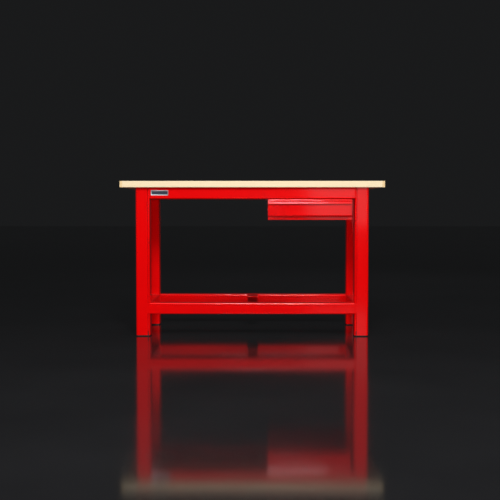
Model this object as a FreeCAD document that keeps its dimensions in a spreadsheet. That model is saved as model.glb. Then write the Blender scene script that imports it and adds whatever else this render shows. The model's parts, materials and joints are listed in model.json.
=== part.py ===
import FreeCAD, Part
import Sketcher
import os

# A steel workbench: four square legs, two rings of rails, a lipped wooden top
# and one drawer that runs in a sheet steel case under the right half of the top.
# X runs along the bench, -Y is the front, +Z is up. The origin is on the floor
# under the middle of the bench. Every length is in millimetres.

doc = FreeCAD.newDocument("Workbench")
sheet = doc.addObject("Spreadsheet::Sheet", "Size")

SIZES = {
    # worktop
    "top_length": 1500,
    "top_depth": 650,
    "top_thick": 36,
    "lipping": 14,
    "top_chamfer": 1.5,
    # welded frame
    "frame_length": 1325,
    "frame_depth": 600,
    "frame_height": 850,
    "leg_width": 80,
    "leg_wall": 4,
    "leg_corner": 10,
    "rail_width": 65,
    "rail_wall": 3,
    "rail_corner": 8,
    "lower_height": 127,
    "bearer_reach": 158,
    # plastic feet
    "foot_flange": 6,
    "foot_width": 78,
    "foot_corner": 9,
    "foot_plug": 71,
    "foot_insert": 22,
    # lugs and screws that hold the top down
    "lug_leg": 40,
    "lug_wide": 50,
    "lug_thick": 4,
    "lug_inset": 200,
    "screw_setback": 24,
    "screw_head": 6.5,
    "screw_head_high": 4,
    "screw_shank": 3,
    "screw_grip": 28,
    # sheet steel case of the drawer
    "case_left": 91.5,
    "case_width": 473,
    "case_front": -281,
    "case_length": 563,
    "case_bottom": 666,
    "case_sheet": 1.5,
    "case_flange": 16,
    "pan_sheet": 1.2,
    "pan_upstand": 14,
    "back_flange": 12,
    "back_clearance": 1,
    "tie_deep": 14,
    "tie_setback": 9,
    "tab_wide": 20,
    "tab_reach": 11,
    "bolt_head": 7,
    "bolt_head_high": 5,
    "bolt_shank": 4,
    "bolt_grip": 16,
    "rear_bolt_shift": 2,
    # drawer
    "front_left": 90,
    "front_width": 476,
    "front_bottom": 683,
    "front_height": 98,
    "front_thick": 18,
    "front_sheet": 1.5,
    "front_slope_high": 9,
    "front_slope_deep": 7,
    "front_round": 2.5,
    "pull_sheet": 1.5,
    "pull_high": 25,
    "pull_top_deep": 9,
    "pull_lip_deep": 14,
    "pull_flare_high": 9,
    "pull_rear_high": 19,
    "pull_lean": 1.5,
    "pull_hem": 1.5,
    "pull_cap_inset": 3,
    "box_bottom": 688,
    "box_height": 80,
    "box_length": 503,
    "box_sheet": 1.2,
    "box_hem": 10,
    # ball slides
    "slide_gap": 13,
    "slide_start": -276,
    "slide_length": 490,
    "slide_high": 45,
    "slide_low": 700,
    "slide_sheet": 1.5,
    "slide_channel": 10,
    "inner_high": 37,
    "inner_channel": 9,
    "ball_diameter": 2.4,
    "ball_inset": 1.5,
    "cage_length": 200,
    "cage_start": 180,
    "cage_sheet": 0.8,
    "cage_deep": 6.5,
    "cage_gap": 0.8,
    "rivet_head": 4,
    "rivet_head_high": 1.2,
    "rivet_shank": 2,
    # name plate
    "plate_left": -576,
    "plate_low": 804,
    "plate_wide": 100,
    "plate_high": 30,
    "plate_thick": 1,
    "plate_corner": 3,
}

for row, (alias, number) in enumerate(SIZES.items(), start=1):
    sheet.set("A%d" % row, alias)
    sheet.set("B%d" % row, str(number))
    sheet.setAlias("B%d" % row, alias)
doc.recompute()

parts = []


def bound(text):
    """Point the alias names in an expression at the sheet."""
    words = sorted(SIZES, key=len, reverse=True)
    out = text
    for count, word in enumerate(words):
        out = out.replace(word, "{%d}" % count)
    return out.format(*["Size." + word for word in words])


def value(text):
    answer = sheet.evalExpression(bound(text))
    return float(getattr(answer, "Value", answer))


def bind(item, prop, text):
    item.setExpression(prop, bound(text))


def place(item, spot):
    for axis, text in zip("xyz", spot):
        bind(item, "Placement.Base." + axis, text)


def keep(item, label):
    item.Label = label
    parts.append(item)
    return item


def draw(sketch, outline):
    """Draw one closed outline whose corners are all set by named sizes."""
    points = [(value(across), value(up)) for across, up in outline]
    first = sketch.GeometryCount
    total = len(points)
    for i, point in enumerate(points):
        after = points[(i + 1) % total]
        start = FreeCAD.Vector(point[0], point[1], 0)
        end = FreeCAD.Vector(after[0], after[1], 0)
        sketch.addGeometry(Part.LineSegment(start, end), False)
    for i in range(total):
        after = first + (i + 1) % total
        sketch.addConstraint(Sketcher.Constraint("Coincident", first + i, 2, after, 1))
    for i, (across, up) in enumerate(outline):
        corner = first + i
        for kind, text, axis, size in (
            ("DistanceX", across, -2, points[i][0]),
            ("DistanceY", up, -1, points[i][1]),
        ):
            if abs(size) < 1e-9:
                sketch.addConstraint(Sketcher.Constraint("PointOnObject", corner, 1, axis))
                continue
            number = sketch.addConstraint(Sketcher.Constraint(kind, -1, 1, corner, 1, size))
            bind(sketch, "Constraints[%d]" % number, text)


def mirrored(outline, wide):
    """The same outline seen from the other side, inside the given width."""
    return [("%s - (%s)" % (wide, across), up) for across, up in reversed(outline)]


def prism(name, plane, outlines, length, spot):
    """A body whose outline is padded along the plane's own axis, away from spot."""
    body = doc.addObject("PartDesign::Body", name)
    sketch = body.newObject("Sketcher::SketchObject", name + "_outline")
    origin = [f for f in body.Origin.OriginFeatures if f.Role == plane + "_Plane"][0]
    sketch.AttachmentSupport = [(origin, "")]
    sketch.MapMode = "FlatFace"
    for outline in outlines:
        draw(sketch, outline)
    pad = body.newObject("PartDesign::Pad", name + "_pad")
    pad.Profile = sketch
    bind(pad, "Length", length)
    pad.Reversed = plane == "XZ"
    place(body, spot)
    doc.recompute()
    return body


def chosen_edges(shape, wanted):
    return ["Edge%d" % (i + 1) for i, edge in enumerate(shape.Edges) if wanted(edge)]


def soften(body, kind, size, wanted):
    """Round or chamfer the body's edges that wanted() picks."""
    base = body.Tip
    edges = chosen_edges(base.Shape, wanted)
    feature = body.newObject("PartDesign::" + kind, body.Name + "_" + kind + str(len(body.Group)))
    feature.Base = (base, edges)
    bind(feature, "Radius" if kind == "Fillet" else "Size", size)
    doc.recompute()
    return feature


def along(edge, axis):
    if len(edge.Vertexes) != 2:
        return False
    step = edge.Vertexes[1].Point - edge.Vertexes[0].Point
    return abs(step[axis]) > 0.999 * step.Length


def rectangle(wide, high, inset="0"):
    low = inset
    return [(low, low), ("%s - %s" % (wide, inset), low),
            ("%s - %s" % (wide, inset), "%s - %s" % (high, inset)), (low, "%s - %s" % (high, inset))]


PLANE_OF_AXIS = {"X": "YZ", "Y": "XZ", "Z": "XY"}


def tube(label, axis, length, spot, stock="rail"):
    """Square hollow section with rounded corners, running along one axis."""
    wide = stock + "_width"
    wall = stock + "_wall"
    number = "XYZ".index(axis)
    outlines = [rectangle(wide, wide), rectangle(wide, wide, wall)]
    body = prism(label, PLANE_OF_AXIS[axis], outlines, length, spot)
    size = value(wide)
    others = [i for i in range(3) if i != number]

    def outer(edge):
        if not along(edge, number):
            return False
        point = edge.Vertexes[0].Point
        return all(min(abs(point[i]), abs(abs(point[i]) - size)) < 1e-6 for i in others)

    def inner(edge):
        if not along(edge, number):
            return False
        point = edge.Vertexes[0].Point
        gap = value(wall)
        return all(abs(point[i] - gap) < 1e-6 or abs(point[i] - size + gap) < 1e-6 for i in others)

    soften(body, "Fillet", stock + "_corner", outer)
    soften(body, "Fillet", stock + "_corner - " + wall, inner)
    return keep(body, label)


def group(label, members):
    made = doc.addObject("Part::Compound", label)
    made.Links = members
    doc.recompute()
    return keep(made, label)


def fuse(name, base, tool):
    made = doc.addObject("Part::Fuse", name)
    made.Base = base
    made.Tool = tool
    made.Refine = True
    doc.recompute()
    return made


def cut(name, base, tool):
    made = doc.addObject("Part::Cut", name)
    made.Base = base
    made.Tool = tool
    doc.recompute()
    return made


def rod(name, radius, length, spot, direction=(0, 0, 1)):
    """Cylinder that starts at spot and runs along direction."""
    made = doc.addObject("Part::Cylinder", name)
    bind(made, "Radius", radius)
    bind(made, "Height", length)
    made.Placement.Rotation = FreeCAD.Rotation(FreeCAD.Vector(0, 0, 1), FreeCAD.Vector(*direction))
    place(made, spot)
    doc.recompute()
    return made


def hexagon(name, radius, high, spot):
    made = doc.addObject("Part::Prism", name)
    made.Polygon = 6
    bind(made, "Circumradius", radius)
    bind(made, "Height", high)
    place(made, spot)
    doc.recompute()
    return made


# Legs and feet

LEG_SPOTS = {
    "front_left": ("-frame_length / 2", "-frame_depth / 2"),
    "front_right": ("frame_length / 2 - leg_width", "-frame_depth / 2"),
    "rear_left": ("-frame_length / 2", "frame_depth / 2 - leg_width"),
    "rear_right": ("frame_length / 2 - leg_width", "frame_depth / 2 - leg_width"),
}


def foot(corner, west, south):
    """Plastic plug: a flange that stands on the floor and an insert inside the leg."""
    name = "foot_" + corner
    rim = "(leg_width - foot_width) / 2"
    step = "(leg_width - foot_plug) / 2"
    flange = prism(name + "_flange", "XY", [rectangle("foot_width", "foot_width")], "foot_flange",
                   ("%s + %s" % (west, rim), "%s + %s" % (south, rim), "0"))
    soften(flange, "Fillet", "foot_corner", lambda edge: along(edge, 2))
    insert = prism(name + "_insert", "XY", [rectangle("foot_plug", "foot_plug")], "foot_insert",
                   ("%s + %s" % (west, step), "%s + %s" % (south, step), "foot_flange"))
    soften(insert, "Fillet", "leg_corner - leg_wall", lambda edge: along(edge, 2))
    keep(fuse(name, flange, insert), name)


for corner, (west, south) in LEG_SPOTS.items():
    tube("leg_" + corner, "Z", "frame_height - foot_flange", (west, south, "foot_flange"), "leg")
    foot(corner, west, south)

# Rails

# Long rails are flush with the legs' outer faces and short rails with their inner faces.
FRONT_FACE = "-frame_depth / 2"
REAR_RAIL = "frame_depth / 2 - rail_width"
LEFT_RAIL = "-frame_length / 2 + leg_width - rail_width"
RIGHT_RAIL = "frame_length / 2 - leg_width"
LONG_RUN = "frame_length - 2 * leg_width"
SHORT_RUN = "frame_depth - 2 * leg_width"

for level, low in (("top", "frame_height - rail_width"), ("lower", "lower_height")):
    tube(level + "_rail_front", "X", LONG_RUN, ("-frame_length / 2 + leg_width", FRONT_FACE, low))
    tube(level + "_rail_rear", "X", LONG_RUN, ("-frame_length / 2 + leg_width", REAR_RAIL, low))
    tube(level + "_rail_left", "Y", SHORT_RUN, (LEFT_RAIL, "-frame_depth / 2 + leg_width", low))
    tube(level + "_rail_right", "Y", SHORT_RUN, (RIGHT_RAIL, "-frame_depth / 2 + leg_width", low))

# A short open tube reaches forward from the rear rail and carries a half shelf.
tube("shelf_bearer", "Y", "bearer_reach",
     ("-rail_width / 2", "frame_depth / 2 - rail_width - bearer_reach", "lower_height"))

# Worktop


def plank(label, long, deep, spot, outer_side):
    """One wooden piece of the top, with its outer long edges eased."""
    body = prism(label, "XY", [rectangle(long, deep)], "top_thick", spot)
    axis, side = outer_side
    if axis is not None:
        run = 0 if axis == 1 else 1
        soften(body, "Chamfer", "top_chamfer",
               lambda edge: along(edge, run) and abs(edge.Vertexes[0].Point[axis] - side) < 1e-6)
    return keep(body, label)


plank("worktop_core", "top_length - 2 * lipping", "top_depth - 2 * lipping",
      ("-top_length / 2 + lipping", "-top_depth / 2 + lipping", "frame_height"), (None, 0))
plank("lipping_front", "top_length - 2 * lipping", "lipping",
      ("-top_length / 2 + lipping", "-top_depth / 2", "frame_height"), (1, 0))
plank("lipping_rear", "top_length - 2 * lipping", "lipping",
      ("-top_length / 2 + lipping", "top_depth / 2 - lipping", "frame_height"), (1, value("lipping")))
plank("lipping_left", "lipping", "top_depth",
      ("-top_length / 2", "-top_depth / 2", "frame_height"), (0, 0))
plank("lipping_right", "lipping", "top_depth",
      ("top_length / 2 - lipping", "-top_depth / 2", "frame_height"), (0, value("lipping")))

# Six angle lugs are welded inside the long top rails, and a screw goes up through each.
LUG_CENTRES = ("-frame_length / 2 + lug_inset", "0", "frame_length / 2 - lug_inset")
lugs = []
screws = []
for i, centre in enumerate(LUG_CENTRES):
    for side in ("front", "rear"):
        name = "lug_%s_%d" % (side, i + 1)
        west = "%s - lug_wide / 2" % centre
        low = "frame_height - lug_leg"
        if side == "front":
            outline = [("0", "0"), ("lug_thick", "0"), ("lug_thick", "lug_leg - lug_thick"),
                       ("lug_leg", "lug_leg - lug_thick"), ("lug_leg", "lug_leg"), ("0", "lug_leg")]
            face = "-frame_depth / 2 + rail_width"
            screw = "%s + screw_setback" % face
        else:
            outline = [("0", "lug_leg"), ("0", "lug_leg - lug_thick"),
                       ("lug_leg - lug_thick", "lug_leg - lug_thick"), ("lug_leg - lug_thick", "0"),
                       ("lug_leg", "0"), ("lug_leg", "lug_leg")]
            face = "frame_depth / 2 - rail_width - lug_leg"
            screw = "%s + lug_leg - screw_setback" % face
        lugs.append(prism(name, "YZ", [outline], "lug_wide", (west, face, low)))
        under = "frame_height - lug_thick - screw_head_high"
        head = hexagon("screw_head_%s_%d" % (side, i + 1), "screw_head", "screw_head_high",
                       (centre, screw, under))
        shank = rod("screw_shank_%s_%d" % (side, i + 1), "screw_shank", "screw_grip",
                    (centre, screw, "frame_height - lug_thick"))
        screws.append(fuse("screw_%s_%d" % (side, i + 1), head, shank))
group("top_lugs", lugs)
group("top_screws", screws)

# Name plate

plate = prism("name_plate", "XZ", [rectangle("plate_wide", "plate_high")], "plate_thick",
              ("plate_left", "-frame_depth / 2 - plate_thick", "plate_low"))
soften(plate, "Fillet", "plate_corner", lambda edge: along(edge, 1))
keep(plate, "name_plate")

# Drawer case

CASE_HIGH = "(frame_height - rail_width - case_bottom)"
CASE_RIGHT = "(case_left + case_width)"
CASE_INSIDE = "(case_width - 2 * case_sheet)"

left_side = [("case_flange", "0"), ("case_flange + case_sheet", "0"),
             ("case_flange + case_sheet", CASE_HIGH), ("0", CASE_HIGH),
             ("0", CASE_HIGH + " - case_sheet"), ("case_flange", CASE_HIGH + " - case_sheet")]
right_side = [("0", "0"), ("case_sheet", "0"), ("case_sheet", CASE_HIGH + " - case_sheet"),
              ("case_flange + case_sheet", CASE_HIGH + " - case_sheet"),
              ("case_flange + case_sheet", CASE_HIGH), ("0", CASE_HIGH)]


def tab_outline(side):
    """A tab's face along the front, with its web running back from the outer end."""
    left = [("0", "0"), ("tab_wide", "0"), ("tab_wide", "case_sheet"), ("case_sheet", "case_sheet"),
            ("case_sheet", "tab_reach"), ("0", "tab_reach")]
    return left if side == "left" else mirrored(left, "tab_wide")


# Each side carries a small front tab that stands forward under the drawer front.
for side, outline, across, tab_across in (
        ("left", left_side, "case_left - case_flange", "case_left"),
        ("right", right_side, CASE_RIGHT + " - case_sheet", CASE_RIGHT + " - tab_wide")):
    wall = prism("case_wall_" + side, "XZ", [outline], "case_length", (across, "case_front", "case_bottom"))
    tab = prism("case_tab_" + side, "XY", [tab_outline(side)], "pan_upstand",
                (tab_across, "case_front - tab_reach", "case_bottom"))
    keep(fuse("side_" + side, wall, tab), "case_side_" + side)


def channel(wide, deep, thick):
    """U outline, open upwards, with its base on the first axis."""
    return [("0", "0"), (wide, "0"), (wide, deep), ("%s - %s" % (wide, thick), deep),
            ("%s - %s" % (wide, thick), thick), (thick, thick), (thick, deep), ("0", deep)]


keep(prism("case_pan", "XZ", [channel(CASE_INSIDE, "pan_upstand", "pan_sheet")],
           "case_length", ("case_left + case_sheet", "case_front", "case_bottom")), "case_pan")
keep(prism("case_back", "XY", [channel(CASE_INSIDE, "back_flange", "pan_sheet")],
           CASE_HIGH + " - pan_upstand - 2 * back_clearance",
           ("case_left + case_sheet", "case_front + case_length - back_flange",
            "case_bottom + pan_upstand + back_clearance")), "case_back")


def c_profile(wide, high, thick):
    """C outline with its web on the first axis's zero and its mouth on the far side."""
    return [("0", "0"), (wide, "0"), (wide, thick), (thick, thick),
            (thick, "%s - %s" % (high, thick)), (wide, "%s - %s" % (high, thick)), (wide, high), ("0", high)]


keep(prism("case_front_tie", "YZ", [c_profile("tie_deep", "pan_upstand", "pan_sheet")],
           CASE_INSIDE + " - 2 * pan_sheet",
           ("case_left + case_sheet + pan_sheet", "case_front + tie_setback", "case_bottom + pan_sheet")),
     "case_front_tie")

bolts = []
for side, across in (("left", "case_left - case_flange / 2"),
                     ("right", CASE_RIGHT + " + case_flange / 2")):
    for end, deep in (("front", "-frame_depth / 2 + rail_width / 2"),
                      ("rear", "frame_depth / 2 - rail_width / 2 - rear_bolt_shift")):
        under = "frame_height - rail_width - case_sheet"
        head = hexagon("bolt_head_%s_%s" % (side, end), "bolt_head", "bolt_head_high",
                       (across, deep, under + " - bolt_head_high"))
        shank = rod("bolt_shank_%s_%s" % (side, end), "bolt_shank", "bolt_grip", (across, deep, under))
        bolts.append(fuse("bolt_%s_%s" % (side, end), head, shank))
group("case_bolts", bolts)

# Ball slides

INNER_RISE = "(slide_high - inner_high) / 2"
BALL_RISE = "(%s + slide_sheet) / 2" % INNER_RISE
CAGE_RISE = "(%s + slide_sheet - cage_sheet) / 2" % INNER_RISE
CAGE_HIGH = "(slide_high - 2 * %s)" % CAGE_RISE
BALL_REACH = "(slide_sheet + cage_gap + cage_deep - ball_inset)"
BALLS_IN_ROW = 10


def slide(side):
    """Fixed channel, moving channel, and the ball cage between them."""
    web = "case_left + case_sheet" if side == "left" else CASE_RIGHT + " - case_sheet"

    def member(label, wide, high, thick, start, rise, flip, length, ahead):
        outline = c_profile(wide, high, thick)
        if flip != (side == "right"):
            outline = mirrored(outline, wide)
        west = "%s + %s" % (web, start) if side == "left" else "%s - %s - %s" % (web, start, wide)
        keep(prism(label, "XZ", [outline], length,
                   (west, "slide_start + " + ahead, "slide_low + " + rise)), label)

    member("slide_outer_" + side, "slide_channel", "slide_high", "slide_sheet", "0", "0",
           False, "slide_length", "0")
    member("slide_inner_" + side, "inner_channel", "inner_high", "slide_sheet",
           "(slide_gap - inner_channel)", INNER_RISE, True, "slide_length", "0")
    member("ball_cage_" + side, "cage_deep", CAGE_HIGH, "cage_sheet",
           "(slide_sheet + cage_gap)", CAGE_RISE, False, "cage_length", "cage_start")

    balls = []
    reach = "%s + %s" % (web, BALL_REACH) if side == "left" else "%s - %s" % (web, BALL_REACH)
    for level, rise in (("low", BALL_RISE), ("high", "slide_high - " + BALL_RISE)):
        for i in range(BALLS_IN_ROW):
            ball = doc.addObject("Part::Sphere", "ball_%s_%s_%d" % (side, level, i + 1))
            bind(ball, "Radius", "ball_diameter / 2")
            along_cage = "cage_length * %d / %d" % (2 * i + 1, 2 * BALLS_IN_ROW)
            place(ball, (reach, "slide_start + cage_start + " + along_cage, "slide_low + " + rise))
            balls.append(ball)
    group("slide_balls_" + side, balls)


for side in ("left", "right"):
    slide(side)

RIVET_PLACES = (0.08, 0.5, 0.92)
for owner in ("case", "drawer"):
    rivets = []
    for side, out in (("left", -1), ("right", 1)):
        for i, share in enumerate(RIVET_PLACES):
            if owner == "case":
                skin = "case_left" if side == "left" else CASE_RIGHT
                turn = out
                grip = "case_sheet + slide_sheet"
            else:
                inside = "case_sheet + slide_gap + box_sheet"
                skin = "case_left + " + inside if side == "left" else CASE_RIGHT + " - (%s)" % inside
                turn = -out
                grip = "box_sheet + slide_sheet"
            deep = "slide_start + slide_length * %g" % share
            high = "slide_low + slide_high / 2"
            name = "%s_rivet_%s_%d" % (owner, side, i + 1)
            head = rod(name + "_head", "rivet_head", "rivet_head_high", (skin, deep, high), (turn, 0, 0))
            shank = rod(name + "_shank", "rivet_shank", grip, (skin, deep, high), (-turn, 0, 0))
            rivets.append(fuse(name, head, shank))
    group(owner + "_rivets", rivets)

# Drawer box

BOX_LEFT = "(case_left + case_sheet + slide_gap)"
BOX_WIDE = "(case_width - 2 * case_sheet - 2 * slide_gap)"
BOX_FRONT = "(-frame_depth / 2 + front_thick)"

hemmed = [("0", "0"), ("box_sheet", "0"), ("box_sheet", "box_height - box_hem"),
          ("2 * box_sheet", "box_height - box_hem"), ("2 * box_sheet", "box_height"), ("0", "box_height")]
keep(prism("drawer_side_left", "XZ", [hemmed], "box_length - box_sheet",
           (BOX_LEFT, BOX_FRONT + " + box_sheet", "box_bottom")), "drawer_side_left")
keep(prism("drawer_side_right", "XZ", [mirrored(hemmed, "2 * box_sheet")], "box_length - box_sheet",
           (BOX_LEFT + " + " + BOX_WIDE + " - 2 * box_sheet", BOX_FRONT + " + box_sheet", "box_bottom")),
     "drawer_side_right")
keep(prism("drawer_base", "XY", [rectangle(BOX_WIDE + " - 2 * box_sheet", "box_length - box_sheet")],
           "box_sheet", (BOX_LEFT + " + box_sheet", BOX_FRONT + " + box_sheet", "box_bottom")),
     "drawer_base")
keep(prism("drawer_back", "YZ", [mirrored([("0", "0"), ("box_sheet", "0"),
                                           ("box_sheet", "box_height - box_sheet"),
                                           ("0", "box_height - box_sheet")], "box_sheet")],
           BOX_WIDE + " - 4 * box_sheet",
           (BOX_LEFT + " + 2 * box_sheet", BOX_FRONT + " + box_length - box_sheet",
            "box_bottom + box_sheet")), "drawer_back")
keep(prism("drawer_inner_front", "XY", [rectangle(BOX_WIDE, "box_sheet")], "box_height",
           (BOX_LEFT, BOX_FRONT, "box_bottom")), "drawer_inner_front")

# The front is a folded pan, open at the back, with a sloped lower edge.
outer = [("0", "front_slope_high"), ("front_slope_deep", "0"), ("front_thick", "0"),
         ("front_thick", "front_height"), ("0", "front_height")]
inner = [("front_sheet", "front_slope_high + front_sheet / 2"),
         ("front_slope_deep + front_sheet / 2", "front_sheet"), ("front_thick + 1", "front_sheet"),
         ("front_thick + 1", "front_height - front_sheet"), ("front_sheet", "front_height - front_sheet")]
solid = prism("front_solid", "YZ", [outer], "front_width", ("front_left", FRONT_FACE, "front_bottom"))
soften(solid, "Fillet", "front_round", lambda edge: along(edge, 0) and edge.Vertexes[0].Point.y < 0.01)
hollow = prism("front_hollow", "YZ", [inner], "front_width - 2 * front_sheet",
               ("front_left + front_sheet", FRONT_FACE, "front_bottom"))
keep(cut("drawer_front", solid, hollow), "drawer_front")

# The pull is one folded strip: a flange on the front, a top, and a leaf that flares out.
PULL_LOW = "(front_bottom + front_height - pull_high)"
pull_outer = [("pull_lip_deep", "pull_high - pull_rear_high"),
              ("pull_lip_deep", "pull_high"),
              ("pull_lip_deep - pull_top_deep", "pull_high"),
              ("pull_lip_deep - pull_top_deep - pull_lean", "pull_flare_high"),
              ("0", "pull_hem"),
              ("pull_hem", "0"),
              ("pull_lip_deep - pull_top_deep", "pull_flare_high"),
              ("pull_lip_deep - pull_top_deep + pull_sheet", "pull_high - pull_sheet"),
              ("pull_lip_deep - pull_sheet", "pull_high - pull_sheet"),
              ("pull_lip_deep - pull_sheet", "pull_high - pull_rear_high")]
pull = prism("drawer_pull", "YZ", [pull_outer], "front_width - 2 * pull_sheet",
             ("front_left + pull_sheet", "-frame_depth / 2 - pull_lip_deep", PULL_LOW))
keep(pull, "drawer_pull")
cap_outline = pull_outer[:6] + [("pull_lip_deep - pull_cap_inset", "pull_high - pull_rear_high")]
for side, west in (("left", "front_left"), ("right", "front_left + front_width - pull_sheet")):
    cap = prism("pull_cap_" + side, "YZ", [cap_outline], "pull_sheet",
                (west, "-frame_depth / 2 - pull_lip_deep", PULL_LOW))
    keep(cap, "pull_cap_" + side)

# Checks and files

doc.recompute()
for item in doc.Objects:
    if "Invalid" in item.State or "Error" in item.State:
        raise RuntimeError("%s failed: %s" % (item.Name, item.State))
for item in parts:
    if item.Shape.isNull() or not item.Shape.isValid():
        raise RuntimeError("%s has a bad shape" % item.Label)

os.makedirs("parts", exist_ok=True)
for item in parts:
    item.Shape.exportStep("parts/%s.step" % item.Label)
    box = item.Shape.BoundBox
    print("%-20s %7.1f %7.1f %7.1f  %7.1f %7.1f %7.1f  %10.0f mm3 %d" % (
        item.Label, box.XMin, box.YMin, box.ZMin, box.XMax, box.YMax, box.ZMax,
        item.Shape.Volume, len(item.Shape.Solids)))
print(len(parts), "parts")
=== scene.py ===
import bpy, bmesh
import json, math, random
from mathutils import Vector, Matrix


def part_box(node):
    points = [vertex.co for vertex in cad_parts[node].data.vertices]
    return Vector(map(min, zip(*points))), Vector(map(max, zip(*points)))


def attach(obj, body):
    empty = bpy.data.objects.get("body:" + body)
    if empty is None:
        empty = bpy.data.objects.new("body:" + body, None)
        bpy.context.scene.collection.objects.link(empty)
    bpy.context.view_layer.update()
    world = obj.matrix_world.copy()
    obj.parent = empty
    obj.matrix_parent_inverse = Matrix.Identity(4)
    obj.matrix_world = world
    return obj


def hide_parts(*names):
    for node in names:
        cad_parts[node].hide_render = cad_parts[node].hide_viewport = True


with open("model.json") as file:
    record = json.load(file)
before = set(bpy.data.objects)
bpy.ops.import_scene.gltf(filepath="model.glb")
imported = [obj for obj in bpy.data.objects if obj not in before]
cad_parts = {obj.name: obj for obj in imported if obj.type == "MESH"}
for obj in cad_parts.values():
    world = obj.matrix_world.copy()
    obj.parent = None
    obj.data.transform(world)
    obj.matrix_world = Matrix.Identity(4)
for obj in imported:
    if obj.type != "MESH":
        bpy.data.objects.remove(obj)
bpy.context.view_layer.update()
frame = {"nodes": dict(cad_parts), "record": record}
nodes = frame["nodes"]
random.seed(7)
mm = 0.001


class Wire:
    def __init__(self, tree, socket):
        self.tree, self.socket = tree, socket

    def math(self, operation, first, second=None):
        sockets = {0: first} if second is None else {0: first, 1: second}
        return self.tree.node("ShaderNodeMath", {"operation": operation}, sockets)[0]

    def __add__(self, other):
        return self.math("ADD", self, other)

    def __radd__(self, other):
        return self.math("ADD", other, self)

    def __sub__(self, other):
        return self.math("SUBTRACT", self, other)

    def __rsub__(self, other):
        return self.math("SUBTRACT", other, self)

    def __mul__(self, other):
        return self.math("MULTIPLY", self, other)

    def __rmul__(self, other):
        return self.math("MULTIPLY", other, self)

    def __truediv__(self, other):
        return self.math("DIVIDE", self, other)

    def __rtruediv__(self, other):
        return self.math("DIVIDE", other, self)

    def __pow__(self, other):
        return self.math("POWER", self, other)

    def __rpow__(self, other):
        return self.math("POWER", other, self)

    def over(self, limit):
        return self.math("GREATER_THAN", self, limit)

    def under(self, limit):
        return self.math("LESS_THAN", self, limit)

    def top(self, other):
        return self.math("MAXIMUM", self, other)

    def fold(self, span):
        return self.math("PINGPONG", self, span)

    def floor(self):
        return self.math("FLOOR", self)

    def sin(self):
        return self.math("SINE", self)

    def sqrt(self):
        return self.math("SQRT", self)

    def abs(self):
        return self.math("ABSOLUTE", self)


class Outputs:
    def __init__(self, tree, node):
        self.tree, self.node = tree, node

    def __getitem__(self, key):
        return Wire(self.tree, self.node.outputs[key])


class Paint:
    # one material and its node tree
    def __init__(self, name):
        self.material = bpy.data.materials.new(name)
        self.material.use_nodes = True
        self.nodes, self.links = self.material.node_tree.nodes, self.material.node_tree.links
        self.shader = self.nodes["Principled BSDF"]

    def feed(self, socket, value):
        if isinstance(value, Wire):
            self.links.new(value.socket, socket)
        else:
            socket.default_value = value

    def node(self, kind, settings=None, sockets=None):
        made = self.nodes.new(kind)
        for key, value in (settings or {}).items():
            setattr(made, key, value)
        for key, value in (sockets or {}).items():
            self.feed(made.inputs[key], value)
        return Outputs(self, made)

    def set(self, **values):
        for key, value in values.items():
            self.feed(self.shader.inputs[socketNames[key]], value)

    def place(self):
        return self.node("ShaderNodeTexCoord")["Object"]

    def facing(self, axis):
        normal = self.node("ShaderNodeNewGeometry")["Normal"]
        return self.node("ShaderNodeSeparateXYZ", {}, {0: normal})[axis]

    def noise(self, place, scale, detail=2.0, roughness=0.5, stretch=None):
        if stretch:
            scaled = self.node("ShaderNodeVectorMath", {"operation": "MULTIPLY"}, {0: place, 1: stretch})
            place = scaled["Vector"]
        return self.node("ShaderNodeTexNoise", {}, {"Vector": place, "Scale": scale, "Detail": detail,
                                                    "Roughness": roughness})["Fac"]

    def chance(self, **sockets):
        # a fixed random value for each number W or vector
        kind = "1D" if "W" in sockets else "3D"
        return self.node("ShaderNodeTexWhiteNoise", {"noise_dimensions": kind}, sockets)["Value"]

    def mix(self, factor, first, second, blend="MIX"):
        return self.node("ShaderNodeMix", {"data_type": "RGBA", "blend_type": blend},
                         {0: factor, 6: first, 7: second})[2]

    def bump(self, height, strength, distance):
        sockets = {"Strength": strength, "Distance": distance, "Height": height}
        return self.node("ShaderNodeBump", {}, sockets)["Normal"]


socketNames = {"colour": "Base Color", "roughness": "Roughness", "metal": "Metallic", "coat": "Coat Weight",
               "coatRoughness": "Coat Roughness", "normal": "Normal", "specular": "Specular IOR Level"}


enamel = {"colour": (0.84, 0.0006, 0.001, 1), "deep": (0.68, 0.0004, 0.0008, 1), "deepShare": 0.6,
          "dust": (0.50, 0.16, 0.13, 1), "dustShare": 0.2, "levelFrom": 0.8,
          "peelSize": 2.6 * mm, "peelDepth": 0.07, "peelHeight": 0.6 * mm,
          "cloudScale": 5.0, "streakScale": 60.0, "coat": 0.7, "coatRoughness": 0.09, "specular": 0.15}


def enamelPaint(name, roughness=0.3):
    paint = Paint(name)
    place = paint.place()
    cloud = paint.noise(place, enamel["cloudScale"], 3.0)
    peel = paint.noise(place, 1 / enamel["peelSize"], 2.0, 0.6)
    fine = paint.noise(place, 3 / enamel["peelSize"], 1.0)
    streak = paint.noise(place, enamel["streakScale"], 4.0, 0.65)
    level = paint.facing("Z").over(enamel["levelFrom"])    # dust settles on level faces
    base = paint.mix(cloud * enamel["deepShare"], enamel["colour"], enamel["deep"])
    base = paint.mix(level * (streak ** 3.0) * enamel["dustShare"], base, enamel["dust"])
    paint.set(colour=base, roughness=cloud * 0.08 + streak * 0.06 + level * 0.1 + (roughness - 0.07),
              normal=paint.bump(peel + fine * 0.25, enamel["peelDepth"], enamel["peelHeight"]),
              coat=enamel["coat"], coatRoughness=enamel["coatRoughness"], specular=enamel["specular"])
    return paint.material


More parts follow.
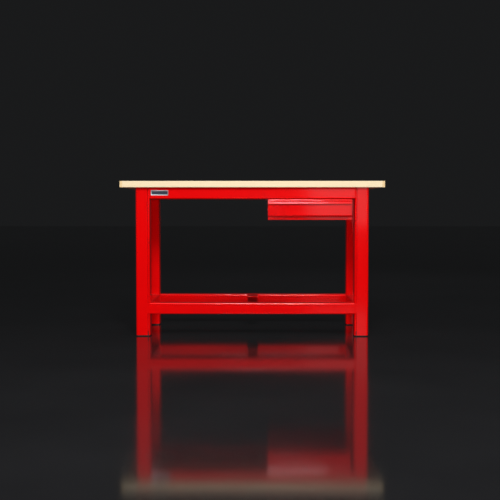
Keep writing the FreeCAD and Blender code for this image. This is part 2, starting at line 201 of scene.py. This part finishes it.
wood = {"pale": (0.96, 0.81, 0.56, 1), "tan": (0.83, 0.62, 0.36, 1), "dark": (0.60, 0.38, 0.18, 1),
        "end": (0.78, 0.52, 0.22, 1), "ring": 3.4 * mm, "ringShare": 0.32, "glueLine": 0.35 * mm,
        "poresFrom": 0.62, "roughness": 0.46, "specular": 0.4, "grain": 0.22, "grainHeight": 0.25 * mm,
        "coat": 0.12, "coatRoughness": 0.3}
# noise scale along the grain, then across it
woodGrain = {"bend": (2.2, 9.0), "fibre": (9.0, 620.0), "pores": (55.0, 1700.0), "broad": (1.6, 22.0)}


def woodPaint(name, along="X", staves=None, warm=0.0):
    # growth rings round a far axis, so long faces show streaks and ends show arcs
    paint = Paint(name)
    place = paint.place()
    axes = paint.node("ShaderNodeSeparateXYZ", {}, {0: place})
    run, across = (axes["X"], axes["Y"]) if along == "X" else (axes["Y"], axes["X"])
    up = axes["Z"]

    def grain(kind, detail, roughness):
        slow, fast = woodGrain[kind]
        stretch = (slow, fast, fast) if along == "X" else (fast, slow, fast)
        return paint.noise(place, 1.0, detail, roughness, stretch)

    if staves:
        row = (across / staves["wide"]).floor()
        slip = paint.chance(W=row * 3.7 + 0.3)
        column = ((run / staves["long"]) + slip * 5.0).floor()
        cell = paint.node("ShaderNodeCombineXYZ", {}, {0: row, 1: column, 2: 0.0})["Vector"]
        tone = paint.chance(Vector=cell)
        sideSeam = across.fold(staves["wide"] / 2).under(wood["glueLine"])
        endSeam = (run + slip * (5.0 * staves["long"])).fold(staves["long"] / 2).under(wood["glueLine"])
        seam = sideSeam.top(endSeam)
    bend = grain("bend", 3.0, 0.55)
    deep = up + 0.09 + (tone * 0.08 if staves else 0.0)
    side = across + (tone * 0.9 if staves else 0.37)
    radius = (deep * deep + side * side * 0.35).sqrt() + bend * 0.022
    rings = (radius * (2 * math.pi / wood["ring"])).sin() * 0.5 + 0.5
    fibre = grain("fibre", 4.0, 0.6)
    pores = grain("pores", 2.0, 0.5).over(wood["poresFrom"])
    broad = grain("broad", 2.0, 0.5)
    colour = paint.mix(rings * wood["ringShare"] + broad * 0.25, wood["pale"], wood["tan"])
    colour = paint.mix((fibre ** 2.0) * 0.5, colour, wood["tan"])
    colour = paint.mix(pores * 0.22, colour, wood["dark"])
    if staves:
        colour = paint.mix(tone * 0.45, colour, wood["tan"], "MULTIPLY")
        colour = paint.mix(seam * 0.55, colour, wood["dark"])
    ends = paint.facing(along).abs().over(0.7)
    colour = paint.mix(ends * 0.5 + warm, colour, wood["end"])
    height = fibre * 0.6 + rings * 0.3 - pores * 0.4
    if staves:
        height = height - seam * 1.5
    paint.set(colour=colour, roughness=fibre * 0.14 + (wood["roughness"] - 0.07), specular=wood["specular"],
              normal=paint.bump(height, wood["grain"], wood["grainHeight"]),
              coat=wood["coat"], coatRoughness=wood["coatRoughness"])
    return paint.material


zinc = {"colour": (0.60, 0.61, 0.60, 1), "shade": (0.42, 0.44, 0.46, 1), "roughness": 0.33,
        "bloomScale": 40.0, "rolled": (900.0, 12.0, 900.0), "tumbled": (400.0, 400.0, 400.0)}


def zincPaint(name, lineScale):
    # zinc plate, with fine lines wherever one scale is far below the others
    paint = Paint(name)
    place = paint.place()
    lines = paint.noise(place, 1.0, 3.0, 0.6, lineScale)
    bloom = paint.noise(place, zinc["bloomScale"], 4.0, 0.6)
    paint.set(colour=paint.mix(bloom * 0.8, zinc["colour"], zinc["shade"]), metal=1.0,
              roughness=lines * 0.12 + bloom * 0.14 + (zinc["roughness"] - 0.1),
              normal=paint.bump(lines, 0.08, 0.1 * mm))
    return paint.material


steel = {"bright": (0.82, 0.82, 0.83, 1), "smear": (0.6, 0.6, 0.6, 1), "smearScale": 900.0, "roughness": 0.1}


def steelPaint(name):
    paint = Paint(name)
    smear = paint.noise(paint.place(), steel["smearScale"], 2.0)
    paint.set(colour=paint.mix(smear * 0.5, steel["bright"], steel["smear"]), metal=1.0,
              roughness=smear * 0.08 + steel["roughness"])
    return paint.material


plastic = {"black": (0.012, 0.012, 0.013, 1), "scuff": (0.09, 0.085, 0.08, 1), "sparkScale": 1600.0,
           "sparkHeight": 0.15 * mm, "scuffScale": 90.0, "roughness": 0.38, "specular": 0.4}


def plasticPaint(name):
    # moulded polyethylene with a fine spark texture and floor scuffs
    paint = Paint(name)
    place = paint.place()
    spark = paint.noise(place, plastic["sparkScale"], 2.0, 0.6)
    scuff = paint.noise(place, plastic["scuffScale"], 5.0, 0.7, (1.0, 1.0, 4.0))
    paint.set(colour=paint.mix((scuff ** 4.0) * 0.8, plastic["black"], plastic["scuff"]),
              roughness=scuff * 0.25 + plastic["roughness"], specular=plastic["specular"],
              normal=paint.bump(spark, 0.18, plastic["sparkHeight"]))
    return paint.material


plateLook = {"metal": (0.56, 0.57, 0.62, 1), "brushed": (0.62, 0.63, 0.67, 1), "brush": (25.0, 25.0, 2600.0),
             "band": (0.028, 0.033, 0.055, 1), "bandWorn": (0.045, 0.052, 0.08, 1), "bandScale": 700.0}


def platePaint(name):
    # brushed aluminium, lines along the plate
    paint = Paint(name)
    brush = paint.noise(paint.place(), 1.0, 3.0, 0.6, plateLook["brush"])
    paint.set(colour=paint.mix(brush * 0.5, plateLook["metal"], plateLook["brushed"]), metal=0.85,
              roughness=brush * 0.2 + 0.28, normal=paint.bump(brush, 0.1, 0.05 * mm))
    return paint.material


def bandPaint(name):
    # printed dark panel, no marks on it
    paint = Paint(name)
    grain = paint.noise(paint.place(), plateLook["bandScale"], 3.0, 0.6)
    paint.set(colour=paint.mix(grain * 0.5, plateLook["band"], plateLook["bandWorn"]),
              roughness=grain * 0.1 + 0.3, coat=0.3)
    return paint.material


stave = {"wide": 51.8 * mm, "long": 740 * mm}
paints = {
    "frame_enamel": enamelPaint("frameEnamel"),
    "case_enamel": enamelPaint("caseEnamel", 0.26),
    "drawer_enamel": enamelPaint("drawerEnamel", 0.22),
    "foot_plastic": plasticPaint("footPlastic"),
    "top_wood": woodPaint("topWood", "X", stave),
    "lipping_wood": woodPaint("lippingWood", "X"),
    "fastener_zinc": zincPaint("fastenerZinc", zinc["tumbled"]),
    "plate_metal": platePaint("plateMetal"),
    "slide_zinc": zincPaint("slideZinc", zinc["rolled"]),
    "ball_steel": steelPaint("ballSteel"),
}
sideLippingPaint = woodPaint("sideLippingWood", "Y", None, 0.1)
bandMaterial = bandPaint("plateBand")
print("materials made:", len(paints) + 2)

slotOf = {row["node"]: row["material_slot"] for row in frame["record"]["subparts"]}
for name, item in nodes.items():
    material = sideLippingPaint if name in ("lipping_left", "lipping_right") else paints[slotOf[name]]
    item.data.materials.clear()
    item.data.materials.append(material)
print("nodes painted:", len(nodes))


def finishPiece(name, mesh, body, slotName, replaced=(), material=None, smooth=True):
    piece = bpy.data.objects.new(name, mesh)
    bpy.context.scene.collection.objects.link(piece)
    mesh.materials.append(material or paints[slotName])
    if smooth:
        mesh.shade_smooth()
    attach(piece, body)
    if replaced:
        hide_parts(*replaced)
    return piece


def meshFrom(shape, name):
    bmesh.ops.recalc_face_normals(shape, faces=shape.faces)
    mesh = bpy.data.meshes.new(name)
    shape.to_mesh(mesh)
    shape.free()
    return mesh


def sharpen(mesh, degrees):
    mesh.set_sharp_from_angle(angle=math.radians(degrees))


def arcs(points, steps=6):
    # corner points (across, up, radius) become a line with rounded bends
    line = []
    for i, (across, up, radius) in enumerate(points):
        corner = Vector((across, up))
        if radius == 0 or i in (0, len(points) - 1):
            line.append(corner)
            continue
        back = (Vector(points[i - 1][:2]) - corner).normalized()
        ahead = (Vector(points[i + 1][:2]) - corner).normalized()
        half = back.angle(ahead) / 2
        reach = radius / math.tan(half)
        centre = corner + (back + ahead).normalized() * (radius / math.sin(half))
        start, end = corner + back * reach - centre, corner + ahead * reach - centre
        for k in range(steps + 1):
            share = k / steps
            spoke = (start * (1 - share) + end * share).normalized() * radius
            line.append(centre + spoke)
    return line


def thickened(line, thick):
    # closed outline of a sheet whose outer face follows the line
    inner = []
    for i, point in enumerate(line):
        before, after = line[max(i - 1, 0)], line[min(i + 1, len(line) - 1)]
        step = (after - before).normalized()
        inner.append(point + Vector((-step.y, step.x)) * thick)
    return line + inner[::-1]


def solidOf(source):
    # one CAD node's solids, in the bench's own frame
    shape = bmesh.new()
    shape.from_mesh(nodes[source].data)
    shape.transform(nodes[source].matrix_world)
    bmesh.ops.remove_doubles(shape, verts=shape.verts, dist=0.01 * mm)
    return shape


def roundEdges(source, width, steps):
    shape = solidOf(source)
    bmesh.ops.dissolve_limit(shape, angle_limit=math.radians(1), verts=shape.verts, edges=shape.edges)
    hard = [edge for edge in shape.edges if edge.is_manifold and edge.calc_face_angle() > math.radians(40)]
    bmesh.ops.bevel(shape, geom=hard, offset=width, segments=steps, profile=0.5, affect="EDGES",
                    clamp_overlap=True)
    return shape


def eased(name, source, body, slotName, width, material=None):
    # the CAD solid again, with every hard edge rounded
    shape = roundEdges(source, width, 2)
    evenNormals(finishPiece(name, meshFrom(shape, name), body, slotName, (source,), material))


def evenNormals(piece):
    # flat faces stay flat and only the rounded edges turn the light
    piece.data.set_sharp_from_angle(angle=math.radians(60))
    weighted = piece.modifiers.new("evenNormals", "WEIGHTED_NORMAL")
    weighted.keep_sharp = True


def bridge(shape, rings):
    # skin over a row of rings, closed at both ends
    for first, second in zip(rings, rings[1:]):
        for i in range(len(first)):
            j = (i + 1) % len(first)
            shape.faces.new((first[i], first[j], second[j], second[i]))
    return [shape.faces.new(rings[0]), shape.faces.new(rings[-1])]


def extruded(name, outline, low, high, segments):
    # outline in the Y Z plane, run along X
    shape = bmesh.new()
    rings = []
    for k in range(segments + 1):
        x = low + (high - low) * k / segments
        rings.append([shape.verts.new((x, p.x, p.y)) for p in outline])
    bmesh.ops.triangulate(shape, faces=bridge(shape, rings))
    return meshFrom(shape, name)


pull = {"thick": 1.5 * mm, "gap": 0.2 * mm, "flangeLow": 6 * mm, "backBend": 1.2 * mm, "topDeep": 9 * mm,
        "bend": 4 * mm, "kneeDeep": 10.5 * mm, "kneeHigh": 9.5 * mm, "flareBend": 9 * mm, "lipHigh": 2 * mm,
        "hem": 1.6 * mm, "hemBend": 1 * mm, "hemDeep": 3 * mm, "hemHigh": 1.8 * mm}
low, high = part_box("drawer_pull")
front, face = low.y, high.y
pullLine = arcs([
    (face - pull["gap"], low.z + pull["flangeLow"], 0),
    (face - pull["gap"], high.z, pull["backBend"]),
    (face - pull["topDeep"], high.z, pull["bend"]),
    (face - pull["kneeDeep"], low.z + pull["kneeHigh"], pull["flareBend"]),
    (front + pull["gap"], low.z + pull["lipHigh"], pull["hemBend"]),
    (front + pull["hem"], low.z, pull["hemBend"]),
    (front + pull["hemDeep"], low.z + pull["hemHigh"], 0),
])
pullMesh = extruded("drawerPull", thickened(pullLine, -pull["thick"]), low.x, high.x, 8)
sharpen(pullMesh, 50)
finishPiece("drawerPull", pullMesh, "drawer", "drawer_enamel", ("drawer_pull",))
print("drawer pull folded")

easedEdges = {
    "drawerFront": ("drawer_front", "drawer", "drawer_enamel", 0.45 * mm),
    "pullCapLeft": ("pull_cap_left", "drawer", "drawer_enamel", 0.35 * mm),
    "pullCapRight": ("pull_cap_right", "drawer", "drawer_enamel", 0.35 * mm),
    "drawerBack": ("drawer_back", "drawer", "drawer_enamel", 0.35 * mm),
    "drawerBase": ("drawer_base", "drawer", "drawer_enamel", 0.35 * mm),
    "drawerInnerFront": ("drawer_inner_front", "drawer", "drawer_enamel", 0.35 * mm),
    "drawerSideLeft": ("drawer_side_left", "drawer", "drawer_enamel", 0.35 * mm),
    "drawerSideRight": ("drawer_side_right", "drawer", "drawer_enamel", 0.35 * mm),
    "caseSideLeft": ("case_side_left", "bench", "case_enamel", 0.4 * mm),
    "caseSideRight": ("case_side_right", "bench", "case_enamel", 0.4 * mm),
    "casePan": ("case_pan", "bench", "case_enamel", 0.35 * mm),
    "caseBack": ("case_back", "bench", "case_enamel", 0.35 * mm),
    "caseFrontTie": ("case_front_tie", "bench", "case_enamel", 0.35 * mm),
    "topLugs": ("top_lugs", "bench", "frame_enamel", 0.8 * mm),
    "shelfBearer": ("shelf_bearer", "bench", "frame_enamel", 0.5 * mm),
    "benchTop": ("worktop_core", "bench", "top_wood", 0.5 * mm),
    "lippingFront": ("lipping_front", "bench", "lipping_wood", 1.0 * mm),
    "lippingRear": ("lipping_rear", "bench", "lipping_wood", 1.0 * mm),
}
for name, (source, body, slotName, width) in easedEdges.items():
    eased(name, source, body, slotName, width)
for side in ("left", "right"):
    eased("lipping" + side.capitalize(), "lipping_" + side, "bench", "lipping_wood", 1.0 * mm,
          sideLippingPaint)
print("edges eased:", len(easedEdges) + 2)

leg = {"corner": 10 * mm, "seamCorner": 9 * mm, "seamFrom": 9 * mm, "seamWide": 4.8 * mm,
       "seamDeep": 14 * mm, "lip": 0.6 * mm, "seamLip": 0.3 * mm}


def seamedLeg(name, source):
    # square tube folded from sheet, with a narrow open seam beside the inner corner
    low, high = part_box(source)
    middle = (low + high) / 2
    half = (high.x - low.x) / 2
    front = 1 if middle.y < 0 else -1
    inward = 1 if middle.x < 0 else -1
    near = half - leg["seamFrom"]
    far = near - leg["seamWide"]
    floor = -half + leg["seamDeep"]
    outline = arcs([(far, floor, 0), (far, -half, leg["lip"]), (-half, -half, leg["corner"]),
                    (-half, half, leg["corner"]), (half, half, leg["corner"]),
                    (half, -half, leg["seamCorner"]), (near, -half, leg["seamLip"]), (near, floor, 0)], 8)
    shape = bmesh.new()
    rings = [[shape.verts.new((middle.x + p.x * inward, middle.y + p.y * front, z)) for p in outline]
             for z in (low.z, high.z)]
    bmesh.ops.triangulate(shape, faces=bridge(shape, rings))
    evenNormals(finishPiece(name, meshFrom(shape, name), "bench", "frame_enamel", (source,)))


for source in [name for name in nodes if name.startswith("leg_")]:
    seamedLeg("seamed_" + source, source)
print("legs folded")

foot = {"edge": 1.6 * mm, "padInset": 7 * mm, "padRise": 0.8 * mm, "padStep": 0.6 * mm,
        "ribs": 5, "ribWide": 5 * mm, "ribHigh": 1.2 * mm, "ribGap": 3 * mm}


def mouldedFoot(name, source):
    # rounded flange, and a tread of bars in a shallow recess underneath
    low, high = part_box(source)
    shape = roundEdges(source, foot["edge"], 3)
    under = [face for face in shape.faces
             if face.normal.z < -0.99 and face.calc_center_median().z < low.z + mm]
    bmesh.ops.inset_region(shape, faces=under, thickness=foot["padInset"] - foot["edge"])
    bmesh.ops.inset_region(shape, faces=under, thickness=foot["padStep"], depth=-foot["padRise"])
    room = 2 * (foot["padInset"] + foot["ribGap"])
    span = high.x - low.x - room
    size = Vector((foot["ribWide"], high.y - low.y - room, foot["ribHigh"]))
    for k in range(foot["ribs"]):
        x = (low.x + high.x) / 2 + span * (k / (foot["ribs"] - 1) - 0.5)
        at = Vector((x, (low.y + high.y) / 2, low.z + size.z / 2))
        for vert in bmesh.ops.create_cube(shape, size=1)["verts"]:
            vert.co = Vector(a * b for a, b in zip(vert.co, size)) + at
    evenNormals(finishPiece(name, meshFrom(shape, name), "bench", "foot_plastic", (source,)))


for source in [name for name in nodes if name.startswith("foot_")]:
    mouldedFoot("moulded_" + source, source)
print("feet moulded")


bolt = {"caseBolts": {"node": "case_bolts", "head": 5 * mm, "reach": 7 * mm, "shank": 4 * mm},
        "topScrews": {"node": "top_screws", "head": 4 * mm, "reach": 6.5 * mm, "shank": 3 * mm},
        "washer": 0.9 * mm, "washerShare": 0.99, "chamferShare": 0.93, "chamferSlope": 0.6,
        "dishShares": (0.45, 0.62), "dishDeep": 0.5 * mm, "edge": 0.25 * mm, "pitch": 1.25 * mm,
        "root": 0.86, "tip": 0.8, "around": 72}


def hexBolt(shape, centre, seat, values, grip):
    # head below, with chamfer arcs on its corners and a washer face, then a threaded shank
    reach, shank = values["reach"], values["shank"]
    flat = reach * math.cos(math.pi / 6)
    chamfer = flat * bolt["chamferShare"]
    rings = []

    def ring(radiusAt, heightAt):
        spots = []
        for k in range(bolt["around"]):
            turn = 2 * math.pi * k / bolt["around"]
            radius = radiusAt(turn)
            spot = (centre.x + radius * math.cos(turn), centre.y + radius * math.sin(turn), heightAt(radius))
            spots.append(shape.verts.new(spot))
        rings.append(spots)

    def hoop(radius, height):
        ring(lambda turn: radius, lambda radius: height)

    def hexRadius(turn):
        return flat / math.cos((turn + math.pi / 6) % (math.pi / 3) - math.pi / 6)

    under, washer = seat - values["head"], seat - bolt["washer"]
    inside, outside = bolt["dishShares"]
    hoop(flat * inside, under + bolt["dishDeep"])
    hoop(flat * outside, under)
    hoop(chamfer, under)
    ring(hexRadius, lambda radius: under + max(0.0, radius - chamfer) * bolt["chamferSlope"])
    ring(hexRadius, lambda radius: washer - bolt["edge"])
    ring(lambda turn: hexRadius(turn) - bolt["edge"], lambda radius: washer)
    hoop(reach * bolt["washerShare"], washer + 0.1 * mm)
    hoop(reach * bolt["washerShare"], seat)
    hoop(shank, seat)
    pitch = bolt["pitch"]
    level = seat + 2 * pitch
    while level < seat + grip - 1.5 * pitch:
        for part, share in ((0.0, 1.0), (0.35, bolt["root"]), (0.55, bolt["root"])):
            hoop(shank * share, level + part * pitch)
        level += pitch
    hoop(shank * bolt["tip"], seat + grip)
    bridge(shape, rings)


def islands(source):
    # the separate solids in one CAD node, as boxes
    shape = solidOf(source)
    left = set(shape.verts)
    boxes = []
    while left:
        queue = [left.pop()]
        found = []
        while queue:
            vert = queue.pop()
            found.append(vert.co.copy())
            for edge in vert.link_edges:
                other = edge.other_vert(vert)
                if other in left:
                    left.remove(other)
                    queue.append(other)
        boxes.append([Vector(pick(p[axis] for p in found) for axis in range(3)) for pick in (min, max)])
    shape.free()
    return boxes


def hexBolts(name):
    shape = bmesh.new()
    values = bolt[name]
    for low, high in islands(values["node"]):
        seat = low.z + values["head"]
        hexBolt(shape, (low + high) / 2, seat, values, high.z - seat)
    mesh = meshFrom(shape, name)
    sharpen(mesh, 32)
    finishPiece(name, mesh, "bench", "fastener_zinc", (values["node"],))


hexBolts("caseBolts")
hexBolts("topScrews")
print("bolts turned")


def roundedRing(wide, high, corner, steps=8):
    # outline of a plate round its own middle
    spots = []
    for k, (sx, sz) in enumerate(((1, 1), (-1, 1), (-1, -1), (1, -1))):
        for step in range(steps + 1):
            turn = math.pi / 2 * (k + step / steps)
            spots.append((sx * (wide / 2 - corner) + corner * math.cos(turn),
                          sz * (high / 2 - corner) + corner * math.sin(turn)))
    return spots


def plateStack(name, middle, layers, material, replaced=()):
    # a low pressed plate: each layer is (wide, high, corner, how far it stands out)
    shape = bmesh.new()
    rings = []
    for wide, high, corner, out in layers:
        rings.append([shape.verts.new((middle.x + x, middle.y - out, middle.z + z))
                      for x, z in roundedRing(wide, high, corner)])
    bridge(shape, rings)
    mesh = meshFrom(shape, name)
    sharpen(mesh, 40)
    return finishPiece(name, mesh, "bench", "plate_metal", replaced, material, False)


plate = {"rim": 1.6 * mm, "bandHigh": 17 * mm, "bandInset": 5 * mm}
low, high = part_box("name_plate")
wide, tall, thick = high.x - low.x, high.z - low.z, high.y - low.y
middle = Vector(((low.x + high.x) / 2, high.y, (low.z + high.z) / 2))
plateStack("namePlate", middle, [
    (wide, tall, 3 * mm, 0),
    (wide, tall, 3 * mm, thick * 0.6),
    (wide - 0.5 * mm, tall - 0.5 * mm, 2.8 * mm, thick * 0.8),
    (wide - 2 * plate["rim"], tall - 2 * plate["rim"], 2.2 * mm, thick * 0.8),
    (wide - 2.6 * plate["rim"], tall - 2.6 * plate["rim"], 2.0 * mm, thick * 0.62),
], None, ("name_plate",))
plateStack("plateBand", middle, [
    (wide - 2 * plate["bandInset"], plate["bandHigh"], 1.5 * mm, thick * 0.55),
    (wide - 2 * plate["bandInset"], plate["bandHigh"], 1.5 * mm, thick * 0.72),
], bandMaterial)
print("name plate made")

weld = {"radius": 3.4 * mm, "ripple": 0.16, "pitch": 2.7 * mm, "step": 0.7 * mm, "around": 10,
        "start": 12 * mm, "bend": 8 * mm, "wander": 0.05, "bearerShare": 0.8, "bearerInset": 10 * mm,
        "lugShare": 0.7, "lugLow": 2 * mm, "lugHigh": 6 * mm}


def smoothPath(corners, radius):
    # corner points in space become a line of short steps with rounded bends
    line = [corners[0]]
    for before, corner, after in zip(corners, corners[1:], corners[2:]):
        start = corner + (before - corner).normalized() * radius
        end = corner + (after - corner).normalized() * radius
        for k in range(9):
            t = k / 8
            line.append(start * (1 - t) ** 2 + corner * 2 * t * (1 - t) + end * t ** 2)
    line.append(corners[-1])
    even = [line[0]]
    for first, second in zip(line, line[1:]):
        length = (second - first).length
        count = max(1, round(length / weld["step"]))
        even.extend(first.lerp(second, k / count) for k in range(1, count + 1))
    return even


def bead(shape, corners, radius, bend):
    # a rippled weld laid along the joint, tapering at both ends
    path = smoothPath(corners, bend)
    rings = []
    travelled = 0.0
    total = sum((b - a).length for a, b in zip(path, path[1:]))
    for i, point in enumerate(path):
        ahead = (path[min(i + 1, len(path) - 1)] - path[max(i - 1, 0)]).normalized()
        if i:
            travelled += (point - path[i - 1]).length
        side = ahead.orthogonal().normalized()
        other = ahead.cross(side)
        wave = (travelled / weld["pitch"]) % 1.0
        taper = min(1.0, 0.25 + travelled / (2.5 * radius), 0.25 + (total - travelled) / (2.5 * radius))
        size = radius * taper * (1 - weld["ripple"] * wave + weld["wander"] * math.sin(travelled * 420))
        rings.append([shape.verts.new(point + (side * math.cos(turn) + other * math.sin(turn)) * size)
                      for turn in (2 * math.pi * k / weld["around"] for k in range(weld["around"]))])
    for first, second in zip(rings, rings[1:]):
        shift = min(range(weld["around"]), key=lambda k: (first[0].co - second[k].co).length)
        second[:] = second[shift:] + second[:shift]
    bridge(shape, rings)


def railBeads():
    # each rail end is welded on its three free sides and the fourth is ground flush
    shape = bmesh.new()
    count = 0
    for source in nodes:
        if "_rail_" not in source:
            continue
        low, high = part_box(source)
        alongX = high.x - low.x > high.y - low.y
        if alongX:
            flush, free = (low.y, high.y) if low.y < 0 else (high.y, low.y)
        else:
            flush, free = (high.x, low.x) if low.x < 0 else (low.x, high.x)
        start = flush + (weld["start"] if flush < free else -weld["start"])
        for end in ((low.x, high.x) if alongX else (low.y, high.y)):
            spots = [(start, low.z), (free, low.z), (free, high.z), (start, high.z)]
            path = [Vector((end, side, up) if alongX else (side, end, up)) for side, up in spots]
            bead(shape, path, weld["radius"], weld["bend"])
            count += 1
    low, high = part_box("shelf_bearer")
    inset = weld["bearerInset"]
    for x in (low.x, high.x):
        path = [Vector((x, high.y, low.z + inset)), Vector((x, high.y, high.z - inset))]
        bead(shape, path, weld["radius"] * weld["bearerShare"], 0)
        count += 1
    for low, high in islands("top_lugs"):
        rail = low.y if low.y < 0 else high.y
        for x in (low.x, high.x):
            path = [Vector((x, rail, low.z + weld["lugLow"])), Vector((x, rail, high.z - weld["lugHigh"]))]
            bead(shape, path, weld["radius"] * weld["lugShare"], 0)
            count += 1
    finishPiece("weldBeads", meshFrom(shape, "weldBeads"), "bench", "frame_enamel")
    print("weld beads laid:", count)


railBeads()

ground = {"sink": 0.25 * mm, "wave": 0.12 * mm, "dip": 0.2 * mm, "overlap": 0.4 * mm, "endGap": 5 * mm,
          "reach": {"top": 6.5 * mm, "lower": 14.6 * mm}, "rootDeep": 8 * mm, "steps": 26,
          "under": [(1.0, 1.2 * mm), (0.6, 3.2 * mm), (0.2, 7 * mm)]}    # share of reach, then depth


def groundWelds():
    # weld ground level over a leg's rounded corner, and over its seam at the lower rails
    shape = bmesh.new()
    steps = ground["steps"]
    for source in ("top_rail_front", "top_rail_rear", "lower_rail_front", "lower_rail_rear"):
        low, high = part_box(source)
        reach = ground["reach"][source.split("_")[0]]
        face, inward = (low.y, 1) if low.y < 0 else (high.y, -1)
        for x, outward in ((low.x, -1), (high.x, 1)):
            rings = []
            for k in range(steps + 1):
                z = low.z + ground["endGap"] + (high.z - low.z - 2 * ground["endGap"]) * k / steps
                sink = ground["sink"] + ground["wave"] * math.sin(k * 1.7 + x * 40)
                profile = [(-ground["overlap"], sink), (reach, sink + ground["dip"])]
                profile += [(reach * share, deep) for share, deep in ground["under"]]
                profile += [(-ground["overlap"], ground["rootDeep"])]
                rings.append([shape.verts.new((x + outward * across, face + inward * deep, z))
                              for across, deep in profile])
            bridge(shape, rings)
    mesh = meshFrom(shape, "groundWelds")
    sharpen(mesh, 40)
    finishPiece("groundWelds", mesh, "bench", "frame_enamel")
    print("ground welds filled: 8")


groundWelds()


stage = {"floor": (0.010, 0.010, 0.011, 1), "worn": (0.028, 0.028, 0.030, 1), "gloss": 0.05, "size": 40,
         "middle": (0, 8, 0), "world": (0.85, 0.88, 0.92, 1), "worldStrength": 0.012}


def makeStage():
    bpy.ops.mesh.primitive_plane_add(size=stage["size"], location=stage["middle"])
    floor = bpy.context.object
    floor.name = "stageFloor"
    paint = Paint("stageFloor")
    patch = paint.noise(paint.place(), 1.5, 4.0)
    paint.set(colour=paint.mix(patch * 0.5, stage["floor"], stage["worn"]),
              roughness=patch * 0.08 + stage["gloss"], specular=0.5)
    floor.data.materials.append(paint.material)
    world = bpy.data.worlds.new("studio")
    world.use_nodes = True
    background = world.node_tree.nodes["Background"]
    background.inputs["Color"].default_value = stage["world"]
    background.inputs["Strength"].default_value = stage["worldStrength"]
    bpy.context.scene.world = world


lamps = {
    "key": {"at": (0.15, -3.9, 3.1), "to": (0, 0, 0.4), "size": 1.1, "watts": 125},
    "low": {"at": (0.02, -5.9, 0.5), "to": (0, 0, 0.4), "size": 0.5, "watts": 50, "gloss": False},
    "sheen": {"at": (1.02, -6.2, 0.92), "to": (0.4, 0, 0.7), "size": 0.8, "watts": 2.2},
    "left": {"at": (-3.4, -2.6, 1.2), "to": (0, 0, 0.4), "size": 1.6, "watts": 36, "gloss": False},
    "right": {"at": (3.4, -2.6, 1.2), "to": (0, 0, 0.4), "size": 1.6, "watts": 36, "gloss": False},
    "top": {"at": (0, -1.4, 3.4), "to": (0, 0, 0.4), "size": 2.2, "watts": 22},
    "back": {"at": (1.0, 4.2, 3.0), "to": (0, 0, 0.4), "size": 2.4, "watts": 45, "gloss": False},
}


def makeLamp(name, values):
    lamp = bpy.data.lights.new(name, "AREA")
    lamp.size, lamp.energy = values["size"], values["watts"]
    item = bpy.data.objects.new(name, lamp)
    item.location = values["at"]
    aim = Vector(values["to"]) - Vector(values["at"])
    item.rotation_euler = aim.to_track_quat("-Z", "Y").to_euler()
    item.visible_camera = False
    item.visible_glossy = values.get("gloss", True)
    bpy.context.scene.collection.objects.link(item)


view = {"at": (0.0446, -5.70, 0.750), "down": 2.71, "left": 0.60, "roll": 0.0, "lens": 68.4}


def makeCamera():
    lens = bpy.data.cameras.new("camera")
    lens.lens, lens.sensor_width = view["lens"], 36
    camera = bpy.data.objects.new("camera", lens)
    camera.location = view["at"]
    turn = Matrix.Rotation(math.radians(view["left"]), 4, "Z")
    tilt = Matrix.Rotation(math.radians(90 - view["down"]), 4, "X")
    roll = Matrix.Rotation(math.radians(view["roll"]), 4, "Z")
    camera.matrix_world = Matrix.Translation(view["at"]) @ turn @ tilt @ roll
    bpy.context.scene.collection.objects.link(camera)
    bpy.context.scene.camera = camera


makeStage()
for name, values in lamps.items():
    makeLamp(name, values)
makeCamera()
bpy.context.scene.view_settings.view_transform = "Standard"
print("stage, lamps and camera set")
